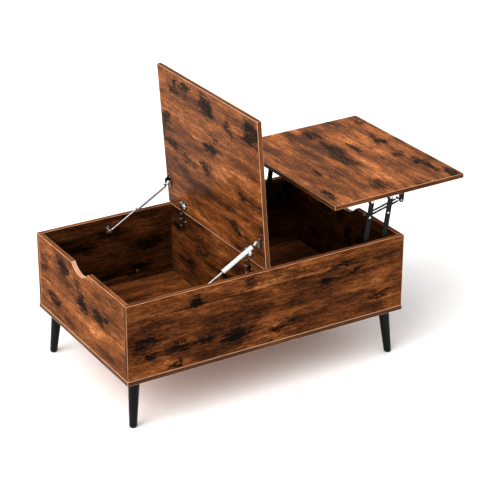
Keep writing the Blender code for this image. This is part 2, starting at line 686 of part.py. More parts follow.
def lift_bracket(table, side):
    """The fixed plate inside a long panel that carries both lower pivots and the arms' stop."""
    sign = SIDES[side]
    stop_along = STOP_UP_ARM * Vector((math.cos(ARM_RAISED), math.sin(ARM_RAISED)))
    across = ARM_WIDTH / 2 + STOP_RADIUS + GAP
    stop_across = across * Vector((math.sin(ARM_RAISED), -math.cos(ARM_RAISED)))
    stop = Vector((ARM_SPACING, second_pivot_rise())) + stop_along + stop_across
    radius = BRACKET_ROUNDING
    right = ARM_SPACING + BRACKET_RIGHT
    slope = BRACKET_LEFT / 3
    corners = [
        (-BRACKET_LEFT, -BRACKET_BELOW, radius),
        (right, -BRACKET_BELOW, radius),
        (right, BRACKET_RIGHT_ABOVE, radius),
        (stop.x + STOP_EDGE, stop.y + STOP_EDGE, radius),
        (stop.x - STOP_EDGE, stop.y + STOP_EDGE, radius),
        (ARM_SPACING - slope, BRACKET_ABOVE, radius),
        (slope - BRACKET_LEFT, BRACKET_ABOVE, radius),
        (-BRACKET_LEFT, BRACKET_ABOVE - slope, radius),
    ]
    hole = RIVET_RADIUS + GAP
    holes = [circle(0, 0, hole), circle(ARM_SPACING, second_pivot_rise(), hole)]
    mesh = plate("lift_bracket", rounded(corners), holes, SHEET)
    moved(mesh, Matrix.Translation((0, layer(sign, BRACKET_LAYER), 0)))
    obj = place("lift_bracket_" + side, mesh, BLACK_STEEL, table, LOWER_PIVOT)
    start, end = SHEET / 2, ARM_LAYER[1]
    profile = [(0, end), (STOP_RADIUS, end), (STOP_RADIUS, start), (0, start)]
    mesh = from_panel(along_y(turned("stop", profile, SMALL)), sign)
    combine(obj, moved(mesh, Matrix.Translation((stop.x, 0, stop.y))), "UNION")


def second_pivot_rise():
    """How much higher the second lower pivot sits: half the tilt, so both ends of the travel fit."""
    return ARM_SPACING * math.sin(RAISED_TILT) / 2


def arm(name, table, side, at):
    """A lift arm with a hole at each pivot and one for a spring pin."""
    holes = [circle(x, 0, RIVET_RADIUS + PIVOT_CLEARANCE) for x in (0, ARM_LENGTH)]
    holes.append(circle(ARM_LENGTH - SPRING_PIN_DOWN_ARM, 0, SPRING_PIN_RADIUS + GAP))
    mesh = plate("arm", slot_outline(ARM_LENGTH, ARM_WIDTH / 2), holes, ARM_THICKNESS)
    moved(mesh, Matrix.Translation((0, layer(SIDES[side], ARM_LAYER), 0)))
    place(f"{name}_{side}", mesh, BLACK_STEEL, table, at, ARM_RAISED)


def rail_outline():
    """The rail's hanging flange about its left pivot, with a tab at each pivot and one for the springs."""
    top = UPPER_PIVOT_BELOW_TOP - GAP
    strip = top - RAIL_STRIP
    tab = ARM_WIDTH / 2
    run_out = tab + TAB_RUN_OUT
    right = RAIL_LENGTH - RAIL_TAIL
    second = ARM_SPACING
    reach = SPRING_PIN_RADIUS + SPRING_TAB_WALL
    low = SPRING_TAB_Z - reach
    round_tab, fillet = TAB_ROUNDING, TAB_RUN_OUT / 2
    corners = [
        (-RAIL_TAIL, top, 0),
        (-RAIL_TAIL, -tab, round_tab),
        (tab, -tab, round_tab),
        (run_out, strip, fillet),
        (second - run_out, strip, fillet),
        (second - tab, -tab, round_tab),
        (second + tab, -tab, round_tab),
        (second + run_out, strip, fillet),
        (SPRING_TAB_X - reach - TAB_RUN_OUT, strip, fillet),
        (SPRING_TAB_X - reach, low, reach * RAIL_TAB_ROUND),
        (SPRING_TAB_X + reach, low, reach * RAIL_TAB_ROUND),
        (SPRING_TAB_X + reach + TAB_RUN_OUT, strip + RAIL_TAPER, fillet),
        (right - RAIL_FLANGE_SHORT, strip + 2 * RAIL_TAPER, fillet),
        (right, top, 0),
    ]
    return rounded(corners)


def rail(top_frame, side):
    """The angle rail under the raised top, with holes for the two rivets and the spring pin."""
    sign = SIDES[side]
    hole = RIVET_RADIUS + GAP
    holes = [circle(0, 0, hole), circle(ARM_SPACING, 0, hole)]
    holes.append(circle(SPRING_TAB_X, SPRING_TAB_Z, SPRING_PIN_RADIUS + GAP))
    mesh = plate("top_rail", rail_outline(), holes, SHEET)
    moved(mesh, Matrix.Translation((0, layer(sign, RAIL_LAYER), 0)))
    obj = place("top_rail_" + side, mesh, BLACK_STEEL, top_frame)
    top = UPPER_PIVOT_BELOW_TOP - GAP
    near = inward(sign, RAIL_LAYER[0] + SHEET / 2)
    far = inward(sign, RAIL_LAYER[0] + RAIL_FLANGE_WIDTH)
    low = (-RAIL_TAIL + GAP, min(near, far), top - GAP - SHEET)
    high = (RAIL_LENGTH - RAIL_TAIL - RAIL_FLANGE_SHORT, max(near, far), top - GAP)
    combine(obj, block("flange", low, high), "UNION")


def springs(table, side):
    """Twin tension springs between the arm's pin and the rail's pin, as closed cylinders."""
    sign = SIDES[side]
    down = SPRING_PIN_DOWN_ARM
    left = UPPER_PIVOT - down * Vector((math.cos(ARM_RAISED), 0, math.sin(ARM_RAISED)))
    tilt = Matrix.Rotation(-RAISED_TILT, 3, "Y")
    right = UPPER_PIVOT + tilt @ Vector((SPRING_TAB_X, 0, SPRING_TAB_Z))
    run = right - left
    start = SPRING_PIN_RADIUS + 2 * GAP
    end = run.length - start
    radius, neck, taper = SPRING_RADIUS, SPRING_RADIUS * SPRING_NECK, SPRING_TAPER
    profile = [(0, end), (neck, end), (radius, end - taper)]
    profile += [(radius, start + taper), (neck, start), (0, start)]
    for name, depth in (("outer", SPRING_LAYER), ("inner", SPRING_LAYER + SPRING_PITCH)):
        mesh = along_x(turned("spring", profile, SMALL))
        at = (left.x, inward(sign, depth), left.z)
        angle = math.atan2(run.z, run.x)
        place(f"lift_spring_{name}_{side}", mesh, BLACK_STEEL, table, at, angle)


def lift(table):
    top_frame = frame("top_pivot", table, UPPER_PIVOT, RAISED_TILT)
    second = LOWER_PIVOT + Vector((ARM_SPACING, 0, second_pivot_rise()))
    half = TOP_DEPTH / 2
    low = (-PIVOT_FROM_TOP_LEFT, -half, UPPER_PIVOT_BELOW_TOP)
    high = (TOP_LENGTH - PIVOT_FROM_TOP_LEFT, half, UPPER_PIVOT_BELOW_TOP + BOARD)
    board("lift_top", top_frame, low, high)
    for side, sign in SIDES.items():
        lift_bracket(table, side)
        arm("lift_arm_left", table, side, LOWER_PIVOT)
        arm("lift_arm_right", table, side, second)
        rail(top_frame, side)
        springs(table, side)
        head = (RIVET_HEAD, RIVET_HEAD_RADIUS)
        span = (2 * GAP, ARM_LAYER[1] + GAP)
        for name, at in (("left", LOWER_PIVOT), ("right", second)):
            mesh = rivet_mesh(sign, None, span, head)
            place(f"lower_rivet_{name}_{side}", mesh, CHROME, table, at)
        span = (ARM_LAYER[0] - GAP, RAIL_LAYER[1] + GAP)
        for name, x in (("left", 0), ("right", ARM_SPACING)):
            mesh = rivet_mesh(sign, head, span, (RIVET_LOW_HEAD, RIVET_LOW_HEAD_RADIUS))
            place(f"upper_rivet_{name}_{side}", mesh, CHROME, top_frame, (x, 0, 0))
        pin = pin_mesh(sign, SPRING_PIN_KNOB, ARM_LAYER[0] - GAP)
        down = ARM_LENGTH - SPRING_PIN_DOWN_ARM
        along = down * Vector((math.cos(ARM_RAISED), 0, math.sin(ARM_RAISED)))
        place("arm_spring_pin_" + side, pin, CHROME, table, LOWER_PIVOT + along)
        pin = pin_mesh(sign, None, RAIL_LAYER[0] + GAP)
        place("rail_spring_pin_" + side, pin, CHROME, top_frame, (SPRING_TAB_X, 0, SPRING_TAB_Z))


def main():
    clear_scene()
    left = -LENGTH / 2 - BASE_OVERHANG
    right = UPPER_PIVOT.x + (TOP_LENGTH - PIVOT_FROM_TOP_LEFT) * math.cos(RAISED_TILT)
    table = frame("table", None, (-(left + right) / 2, 0, 0))
    carcass(table)
    legs(table)
    pivot = lid(table)
    for side in SIDES:
        strut(table, pivot, side)
    lift(table)


main()
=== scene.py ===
"""Looks of the lift top coffee table: materials, hardware details, light and camera around the CAD part."""

import json
import math

import bmesh
import bpy
from mathutils import Matrix, Vector


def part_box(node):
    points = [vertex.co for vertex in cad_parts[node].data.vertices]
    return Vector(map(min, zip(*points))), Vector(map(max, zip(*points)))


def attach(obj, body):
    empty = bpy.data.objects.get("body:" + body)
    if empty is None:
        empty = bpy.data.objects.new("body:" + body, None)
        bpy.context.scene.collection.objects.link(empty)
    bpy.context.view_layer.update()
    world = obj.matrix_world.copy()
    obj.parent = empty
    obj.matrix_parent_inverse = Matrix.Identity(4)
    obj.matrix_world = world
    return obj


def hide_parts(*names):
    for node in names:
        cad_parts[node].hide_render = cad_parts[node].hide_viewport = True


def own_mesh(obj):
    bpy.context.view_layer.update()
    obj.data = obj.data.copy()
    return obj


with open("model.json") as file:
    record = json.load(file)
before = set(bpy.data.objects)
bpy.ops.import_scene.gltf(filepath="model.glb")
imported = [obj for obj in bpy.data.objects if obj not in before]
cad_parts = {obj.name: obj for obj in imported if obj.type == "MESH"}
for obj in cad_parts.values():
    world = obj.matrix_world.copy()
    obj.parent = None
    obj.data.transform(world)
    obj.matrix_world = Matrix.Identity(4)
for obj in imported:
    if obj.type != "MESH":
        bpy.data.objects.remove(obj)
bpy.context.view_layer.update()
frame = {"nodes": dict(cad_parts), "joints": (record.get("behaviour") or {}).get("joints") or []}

# Camera, in metres, degrees and pixels
PICTURE = (499, 500)
CAMERA_AT = (-2.6446, -4.3382, 2.7187)
CAMERA_YAW = -31.3485
CAMERA_PITCH = 24.9204
CAMERA_ROLL = 0.2583
FOCAL_PIXELS = 1728.05
CENTRE_PIXEL = (249.99, 245.06)
SENSOR = 36.0

# Light. The sky brightens towards the key once the cosine of the angle to it passes SKY_LOBE_START.
SKY_BASE = 0.52
SKY_LOBE = 2.5
SKY_LOBE_POWER = 2.6
SKY_LOBE_START = 0.5
KEY_FROM = (-0.80, -0.22, 0.56)
SUN_STRENGTH = 1.35
SUN_ANGLE = 50
FLOOR_HALF = 30.0
FLOOR_SHADES = (0.93, 0.96)
VIEW_GAMMA = 0.8

# Sizes of the model that its pieces follow, in metres and radians
BOARD = 0.015
SHEET = 0.002
GAP = 0.0003
NOTCH_DEPTH = 0.027
NOTCH_WIDTH = 0.112
TOP_TILT = math.radians(-0.60)
ARM_RAISED = math.radians(81.5)
ARM_PIN_UP_ARM = 0.1585
STRUT_STUD_TO_TUBE = 0.018
STRUT_TUBE_LENGTH = 0.121
SPRING_RADIUS = 0.00325
SIDES = {"front": -1, "back": 1}
ENDS = ("left", "right")

# Screws: the radius of each head, and its place on what it holds, in metres
OFF_FACE = 0.00005
LEG_SCREW = 0.0034
LEG_SCREW_OFFSET = 0.018
HINGE_CUP_SCREW = 0.0030
HINGE_CUP_SCREW_OFFSET = 0.0216
HINGE_PLATE_SCREW = 0.0032
HINGE_PLATE_SCREW_OFFSET = 0.0190
HINGE_ARM_SCREW_RISES = (0.008, 0.030)
STRUT_PANEL_SCREW = 0.0026
STRUT_PANEL_SCREW_OFFSET = 0.0092
STRUT_LID_SCREW = 0.0028
STRUT_LID_SCREW_OFFSET = 0.0140
STRUT_LID_SCREW_INSET = 0.0085
LIFT_SCREW = 0.0030
LIFT_SCREW_RUNS = (0.012, 0.066, 0.122)
LIFT_SCREW_RISE = 0.009
RAIL_SCREW = 0.0028
RAIL_SCREW_RUNS = (0.030, 0.102, 0.190)
RAIL_SCREW_INSET = 0.0062
CAM_COVER = 0.0062
CAM_COVER_X = (-0.263, 0.075)
CAM_COVER_Z = 0.210


def joint(name):
    return next(row for row in frame["joints"] if row["name"] == name)


LID_TURN = math.radians(joint("lid_hinge")["range_deg"][1])


def turned_box(node, turn=0.0):
    """A node's corners in axes turned about Y, such as those of the open lid."""
    back = Matrix.Rotation(-turn, 3, "Y")
    points = [back @ vertex.co for vertex in frame["nodes"][node].data.vertices]
    low = Vector([min(point[k] for point in points) for k in range(3)])
    high = Vector([max(point[k] for point in points) for k in range(3)])
    return low, high


def centre_of(node):
    low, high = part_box(node)
    return (low + high) / 2


def outer_y(box, sign):
    """The y of a box's face that is nearest the long panel on that side."""
    low, high = box
    return high.y if sign > 0 else low.y


# ---------------------------------------------------------------- materials
NOISE_SPAN = (0.30, 0.70)


class Nodes:
    """A node tree. An input is another node's output, or a plain value."""

    def __init__(self, tree):
        self.tree = tree

    def feed(self, socket, value):
        if isinstance(value, bpy.types.NodeSocket):
            self.tree.links.new(value, socket)
        else:
            socket.default_value = value

    def add(self, kind, values, output=0, **settings):
        node = self.tree.nodes.new(kind)
        for key, value in settings.items():
            setattr(node, key, value)
        for key, value in values.items():
            self.feed(node.inputs[key], value)
        return node.outputs[output]

    def math(self, operation, first, second=0.0, third=0.0):
        return self.add("ShaderNodeMath", {0: first, 1: second, 2: third}, operation=operation)

    def vector(self, operation, first, second=(0, 0, 0)):
        return self.add("ShaderNodeVectorMath", {0: first, 1: second}, operation=operation)

    def length(self, vector):
        return self.add("ShaderNodeVectorMath", {0: vector}, "Value", operation="LENGTH")

    def split(self, vector):
        node = self.tree.nodes.new("ShaderNodeSeparateXYZ")
        self.feed(node.inputs[0], vector)
        return node.outputs

    def join(self, x, y, z):
        return self.add("ShaderNodeCombineXYZ", {0: x, 1: y, 2: z})

    def remap(self, value, start, end, low=0.0, high=1.0, kind="SMOOTHSTEP"):
        values = {"Value": value, "From Min": start, "From Max": end, "To Min": low, "To Max": high}
        return self.add("ShaderNodeMapRange", values, interpolation_type=kind)

    def noise(self, vector, stretch, detail=4.0, roughness=0.55, distortion=0.0):
        """Noise over stretched metres, spread to fill 0 to 1."""
        scaled = self.vector("MULTIPLY", vector, stretch)
        values = {"Vector": scaled, "Scale": 1.0, "Detail": detail, "Roughness": roughness}
        raw = self.add("ShaderNodeTexNoise", {**values, "Distortion": distortion}, "Fac")
        return self.remap(raw, *NOISE_SPAN, kind="LINEAR")

    def blend(self, factor, first, second):
        values = {0: factor, 2: first, 3: second}
        return self.add("ShaderNodeMix", values, 0, data_type="FLOAT")

    def colour(self, factor, first, second):
        values = {0: factor, 6: first, 7: second}
        return self.add("ShaderNodeMix", values, 2, data_type="RGBA")

    def ramp(self, factor, stops):
        node = self.tree.nodes.new("ShaderNodeValToRGB")
        self.feed(node.inputs[0], factor)
        elements = node.color_ramp.elements
        while len(elements) < len(stops):
            elements.new(0.5)
        for element, (place, shade) in zip(elements, stops):
            element.position = place
            element.color = (*shade, 1)
        return node.outputs[0]


class Shader(Nodes):
    """A new material's nodes, with its surface's inputs."""

    def __init__(self, name):
        self.material = bpy.data.materials.new(name)
        self.material.use_nodes = True
        super().__init__(self.material.node_tree)
        self.surface = self.tree.nodes["Principled BSDF"].inputs

    def set(self, **values):
        for key, value in values.items():
            self.feed(self.surface[key.replace("_", " ")], value)

    def position(self):
        return self.add("ShaderNodeTexCoord", {}, "Object")

    def bump(self, height, strength, distance):
        values = {"Height": height, "Strength": strength, "Distance": distance}
        self.feed(self.surface["Normal"], self.add("ShaderNodeBump", values))


WOOD_STOPS = [
    (0.00, (0.0100, 0.0052, 0.0030)),
    (0.18, (0.0360, 0.0145, 0.0060)),
    (0.38, (0.1000, 0.0350, 0.0115)),
    (0.58, (0.1900, 0.0680, 0.0205)),
    (0.78, (0.3200, 0.1230, 0.0400)),
    (0.92, (0.4700, 0.2080, 0.0760)),
    (1.00, (0.6000, 0.3050, 0.1350)),
]
SMOKE = (0.0085, 0.0052, 0.0038)
SMOKE_DEEPENS = 0.22
MOST_SMOKE = 0.95

# The light line along each arris, and the band on a board's edges, in metres
EDGE_LINE = (0.62, 0.385, 0.250)
EDGE_LINE_WIDTH = 0.0013
EDGE_LINE_CORE = 0.7
EDGE_LINE_WEAR = ((18, 18, 5), 3.0)
EDGE_LINE_SHARE = (0.45, 0.95)
BAND_START, BAND_FULL = 0.0003, 0.0008
BAND_TONES = (0.42, 0.90)
BAND_SMOKE = 0.35

# Noise layers: stretch along the grain, across it and through the board in 1/metres, then detail,
# roughness and distortion.
WANDER = ((7, 15, 1), 2.0)
BROAD = ((4, 16, 1), 4.0, 0.60, 0.15)
MOTTLE = ((22, 75, 1.5), 5.0, 0.72, 0.15)
STREAK = ((10, 130, 1), 5.0, 0.74, 0.05)
FIBRE = ((70, 260, 1), 4.0, 0.75)
HAIR = ((90, 1600, 1), 2.0, 0.5)
CLOUDS = ((8, 24, 1.7), 6.0, 0.80, 0.2)
FLECKS = ((40, 130, 2.3), 5.0, 0.78, 0.2)

# How much each layer counts in the print's tone, and the span of the sum that fills the colour stops
BROAD_SHARE = 0.33
MOTTLE_SHARE = 0.16
STREAK_SHARE = 0.20
FIBRE_SHARE = 0.20
HAIR_SHARE = 0.04
PLANK_SHARE = 0.07
TONE_SPAN = (0.20, 0.76)
WANDER_REACH = 0.007
DEPTH_STRETCH = 30.0

# Where a layer's value gives dark, and how dark: from, to, dark at from, dark at to
CLOUDS_DARK = (0.78, 0.98, 0.0, 0.55)
FLECKS_DARK = (0.82, 0.93, 0.0, 0.90)
WISPS_IN_SMUDGES = (0.85, 1.55, 1.20, 0.50)
HALO_REACH, HALO_SHARE = (1.55, 0.75), 0.45
CORE_REACH, CORE_SHARE = (1.00, 0.60), 0.55

# Shifts that tear a smudge's outline: stretch in 1/metres, and reach along and across in metres
TEARS = (((8, 20, 1), (0.085, 0.030)), ((45, 95, 1), (0.040, 0.020)))
TEAR_DETAIL = (5.0, 0.72)
TEAR_APART = 5.0

# The printed planks and the dark seams between them, in metres
PLANK = 0.21
PLANK_START = 0.37
PLANK_SHIFT = 3.0
SEAM_OUTER, SEAM_INNER = 0.0016, 0.0006
SEAM_FADE = ((4, 0.5, 3), 1.0)
SEAM_SHARE = (0.35, 0.48, 0.0, 0.90)
SEAM_TONE = 0.6

WOOD_ROUGHNESS = (0.36, 0.56)
WOOD_BUMP = (0.22, 0.0006)

# Smoky patches and knots: place along and across the grain as parts of half the board, half sizes
# in metres, and how dark each is.
FRONT_SMUDGES = [
    (-0.54, 0.68, 0.030, 0.016, 1.0), (-0.234, -0.54, 0.045, 0.026, 0.9), (0.09, -0.63, 0.036, 0.014, 0.8),
    (-0.90, -0.16, 0.055, 0.024, 0.8), (-0.86, -0.49, 0.036, 0.014, 0.9), (-0.65, -0.40, 0.028, 0.016, 0.8),
    (-0.48, -0.38, 0.045, 0.014, 0.7), (0.394, 0.24, 0.036, 0.013, 0.8), (0.616, 0.36, 0.024, 0.012, 0.8),
    (0.51, 0.69, 0.034, 0.009, 0.8), (0.787, -0.52, 0.045, 0.016, 0.8), (-0.65, -0.86, 0.022, 0.011, 0.8),
    (0.12, 0.74, 0.060, 0.024, 0.45), (-0.14, 0.77, 0.034, 0.022, 0.5), (0.433, 0.64, 0.011, 0.015, 0.6),
]
LEFT_SMUDGES = [
    (0.43, 0.62, 0.042, 0.034, 0.75), (0.62, -0.51, 0.036, 0.024, 0.8), (-0.056, 0.11, 0.024, 0.036, 0.85),
    (-0.39, 0.06, 0.036, 0.022, 0.8), (-0.60, 0.14, 0.024, 0.017, 0.7), (0.09, 0.50, 0.026, 0.017, 0.5),
    (0.85, 0.35, 0.026, 0.040, 0.4),
]
LID_SMUDGES = [
    (0.66, -0.88, 0.016, 0.016, 1.0), (0.68, -0.75, 0.042, 0.020, 0.7), (0.42, -0.88, 0.024, 0.017, 0.8),
    (0.02, -0.76, 0.036, 0.032, 0.9), (-0.84, -0.78, 0.052, 0.042, 1.0), (-0.42, -0.66, 0.024, 0.022, 0.8),
    (0.00, -0.22, 0.034, 0.013, 0.9), (0.08, 0.09, 0.042, 0.022, 0.75), (0.88, -0.28, 0.026, 0.026, 0.7),
    (0.74, 0.08, 0.034, 0.022, 0.6), (0.48, 0.16, 0.056, 0.017, 0.6), (-0.64, 0.17, 0.016, 0.013, 0.9),
    (-0.46, 0.70, 0.024, 0.022, 0.7), (-0.08, -0.40, 0.017, 0.011, 0.8),
]
TOP_SMUDGES = [
    (0.22, 0.75, 0.032, 0.019, 0.95), (-0.61, 0.77, 0.064, 0.017, 0.95), (-0.92, 0.89, 0.050, 0.017, 0.9),
    (-0.21, 0.66, 0.024, 0.022, 0.7), (0.82, 0.89, 0.014, 0.013, 0.9), (0.93, 0.54, 0.036, 0.012, 0.7),
    (0.23, 0.29, 0.040, 0.013, 0.9), (0.12, 0.47, 0.018, 0.011, 0.7), (0.77, 0.04, 0.056, 0.034, 0.75),
    (0.29, 0.02, 0.066, 0.024, 0.7), (-0.21, -0.60, 0.024, 0.013, 0.8), (-0.75, -0.16, 0.046, 0.024, 0.65),
    (-0.74, -0.89, 0.036, 0.013, 0.8), (-0.05, -0.05, 0.066, 0.026, 0.5),
]
BACK_SMUDGES = [
    (-0.66, 0.30, 0.045, 0.022, 0.6), (-0.20, 0.00, 0.036, 0.018, 0.7), (-0.45, 0.55, 0.050, 0.020, 0.5),
    (-0.30, -0.60, 0.040, 0.016, 0.6), (0.30, 0.20, 0.040, 0.018, 0.6), (0.62, -0.35, 0.050, 0.018, 0.7),
    (0.82, 0.45, 0.030, 0.016, 0.7),
]


def smudge_mask(s, place, smudges, halves):
    """Dark ovals at the places listed, each a core in a halo."""
    mask = 0.0
    for along, across, half_along, half_across, dark in smudges:
        offset = s.vector("SUBTRACT", place, (along * halves[0], across * halves[1], 0))
        reach = s.length(s.vector("MULTIPLY", offset, (1 / half_along, 1 / half_across, 0)))
        halo = s.remap(reach, *HALO_REACH, 0.0, HALO_SHARE * dark)
        core = s.remap(reach, *CORE_REACH, 0.0, CORE_SHARE * dark)
        mask = s.math("MAXIMUM", mask, s.math("ADD", halo, core))
    return mask


def torn(s, place):
    """The place shifted by noise, so that what is drawn there has a torn outline."""
    shifted = place
    for stretch, reach in TEARS:
        shifts = []
        for part, size in enumerate(reach):
            swing = s.noise(s.vector("ADD", place, (TEAR_APART * part, 0, 0)), stretch, *TEAR_DETAIL)
            shifts.append(s.math("MULTIPLY", s.math("SUBTRACT", swing, 0.5), size))
        shifted = s.vector("ADD", shifted, s.join(*shifts, 0.0))
    return shifted


def board_axes(s, node, grain, turn):
    """A point's place along the grain, across it and through the board, and the board's half sizes."""
    low, high = turned_box(node, turn)
    half = (high - low) / 2
    thin = min(range(3), key=lambda k: half[k])
    along = "XYZ".index(grain)
    across = 3 - thin - along
    unit = Matrix.Identity(3)
    turned = Matrix.Rotation(turn, 3, "Y")
    basis = turned @ Matrix((unit[along], unit[across], unit[along].cross(unit[across]))).transposed()
    middle = turned @ ((low + high) / 2)
    values = {"Vector": s.position(), "Location": middle, "Rotation": basis.to_euler()}
    local = s.add("ShaderNodeMapping", values, vector_type="TEXTURE")
    return local, (half[along], half[across], half[thin])


def arris_distance(s, rooms, along, across, halves, notch):
    """Distance to the nearest arris: the middle one of the three distances to the box's faces."""
    less, more = s.math("MINIMUM", rooms[0], rooms[1]), s.math("MAXIMUM", rooms[0], rooms[1])
    distance = s.math("MAXIMUM", less, s.math("MINIMUM", more, rooms[2]))
    if not notch:
        return distance
    radius = (NOTCH_WIDTH**2 / 4 + NOTCH_DEPTH**2) / (2 * NOTCH_DEPTH)
    spoke = s.length(s.join(along, s.math("SUBTRACT", across, halves[1] - NOTCH_DEPTH + radius), 0.0))
    return s.math("MINIMUM", distance, s.math("ABSOLUTE", s.math("SUBTRACT", spoke, radius)))


# Scales colour stops by a factor; for the wood print this factor is painted light and shade per board.
def toned(stops, tone_and_painted_light):
    return [(at, [shade * tone_and_painted_light for shade in colour]) for at, colour in stops]


def wood(node, grain, turn=0.0, tone_and_painted_light=1.0, rim=0.8, smudges=(), seed=0.0, notch=False, end_line=1.0,
         end_rim=1.0, gloss=0.025):
    """Rustic printed laminate with light arrises, in the board's own axes.

    The tone factor scales the board's print as painted light and shade: lower on the boards inside the
    compartments for painted shade, higher on the boards that should look more lit. The rim is the edge
    bands'. At the grain's ends, end_line and end_rim are the shares of the line and the band that show.
    """
    s = Shader("rustic_" + node)
    local, halves = board_axes(s, node, grain, turn)
    u, v, w = s.split(local)
    rooms = s.split(s.vector("SUBTRACT", halves, s.vector("ABSOLUTE", local)))
    at_end = s.math("LESS_THAN", rooms[0], rooms[1])
    arris = arris_distance(s, rooms, u, v, halves, notch)
    line = s.remap(arris, EDGE_LINE_WIDTH, EDGE_LINE_WIDTH * EDGE_LINE_CORE)
    line = s.math("MULTIPLY", line, s.blend(at_end, 1.0, end_line))

    # On an edge band the grain runs along the band.
    band = s.remap(rooms[2], BAND_START, BAND_FULL)
    across = s.blend(band, v, w)
    along = s.blend(band, u, s.blend(at_end, u, v))
    place = s.join(along, across, s.math("MULTIPLY_ADD", w, DEPTH_STRETCH, seed))

    plank_at = s.math("MULTIPLY_ADD", across, 1 / PLANK, PLANK_START + seed)
    plank = s.math("FLOOR", plank_at)
    plank = s.add("ShaderNodeTexWhiteNoise", {"W": plank}, "Value", noise_dimensions="1D")
    shifted = s.vector("ADD", place, s.join(s.math("MULTIPLY", plank, PLANK_SHIFT), 0.0, plank))
    wander = s.math("MULTIPLY", s.noise(shifted, *WANDER), WANDER_REACH)
    bent = s.vector("ADD", shifted, s.join(0.0, wander, 0.0))

    mottle, streak = s.noise(bent, *MOTTLE), s.noise(bent, *STREAK)
    fibre, hair = s.noise(bent, *FIBRE), s.noise(bent, *HAIR)
    shade = s.math("MULTIPLY", s.noise(bent, *BROAD), BROAD_SHARE)
    shares = ((mottle, MOTTLE_SHARE), (streak, STREAK_SHARE), (fibre, FIBRE_SHARE), (hair, HAIR_SHARE),
              (plank, PLANK_SHARE))
    for layer, share in shares:
        shade = s.math("MULTIPLY_ADD", layer, share, shade)
    shade = s.remap(shade, *TONE_SPAN, kind="LINEAR")

    wisps = s.remap(s.math("ADD", streak, fibre), *WISPS_IN_SMUDGES)
    spots = s.math("MULTIPLY", smudge_mask(s, torn(s, place), smudges, halves), wisps)
    clouds = s.remap(s.noise(bent, *CLOUDS), *CLOUDS_DARK)
    flecks = s.remap(s.noise(bent, *FLECKS), *FLECKS_DARK)
    dark = s.math("MAXIMUM", s.math("MAXIMUM", clouds, flecks), spots)
    dark = s.math("MULTIPLY", dark, s.remap(band, 0, 1, 1.0, BAND_SMOKE))

    from_middle = s.math("ABSOLUTE", s.math("SUBTRACT", s.math("FRACT", plank_at), 0.5))
    seam = s.remap(from_middle, 0.5 - SEAM_OUTER / PLANK, 0.5 - SEAM_INNER / PLANK)
    seam = s.math("MULTIPLY", seam, s.remap(s.noise(place, *SEAM_FADE), *SEAM_SHARE))
    seam = s.math("MULTIPLY", seam, s.remap(band, 0, 1, 1.0, 0.0))

    shade = s.math("SUBTRACT", shade, s.math("MULTIPLY", dark, SMOKE_DEEPENS))
    edge = s.math("MULTIPLY", band, s.blend(at_end, 1.0, end_rim))
    edge_colour = s.ramp(s.remap(shade, 0.0, 1.0, *BAND_TONES, "LINEAR"), toned(WOOD_STOPS, rim))
    # The board's tone factor darkens or brightens its print, smoke and seams as painted shade and painted
    # light.
    colour = s.colour(edge, s.ramp(shade, toned(WOOD_STOPS, tone_and_painted_light)), edge_colour)
    colour = s.colour(s.math("MINIMUM", dark, MOST_SMOKE), colour, (*[c * tone_and_painted_light for c in SMOKE], 1))
    colour = s.colour(seam, colour, (*[c * tone_and_painted_light * SEAM_TONE for c in SMOKE], 1))
    worn = s.remap(s.noise(place, *EDGE_LINE_WEAR), 0.0, 0.6, *EDGE_LINE_SHARE)
    colour = s.colour(s.math("MULTIPLY", line, worn), colour, (*EDGE_LINE, 1))

    roughness = s.remap(s.math("ADD", fibre, dark), 0.0, 2.0, *WOOD_ROUGHNESS)
    s.set(Base_Color=colour, Roughness=roughness)
    s.surface["Specular IOR Level"].default_value = gloss
    grain_height = s.math("ADD", s.math("MULTIPLY", fibre, 0.5), s.math("MULTIPLY", hair, 0.5))
    s.bump(s.math("SUBTRACT", grain_height, seam), *WOOD_BUMP)
    return s.material


def mottled(name, stops, stretch, roughness, bump, detail=3.0, **uniform):
    """A finish with fine variation in colour, gloss and height. Sizes of the variation are in 1/metres."""
    s = Shader(name)
    value = s.noise(s.position(), stretch, detail)
    s.set(Base_Color=s.ramp(value, stops), Roughness=s.remap(value, 0.0, 1.0, *roughness))
    s.bump(value, *bump)
    for key, setting in uniform.items():
        s.surface[key.replace("_", " ")].default_value = setting
    return s.material


def grey(value, tint=(1.0, 1.0, 1.0)):
    return tuple(value * part for part in tint)


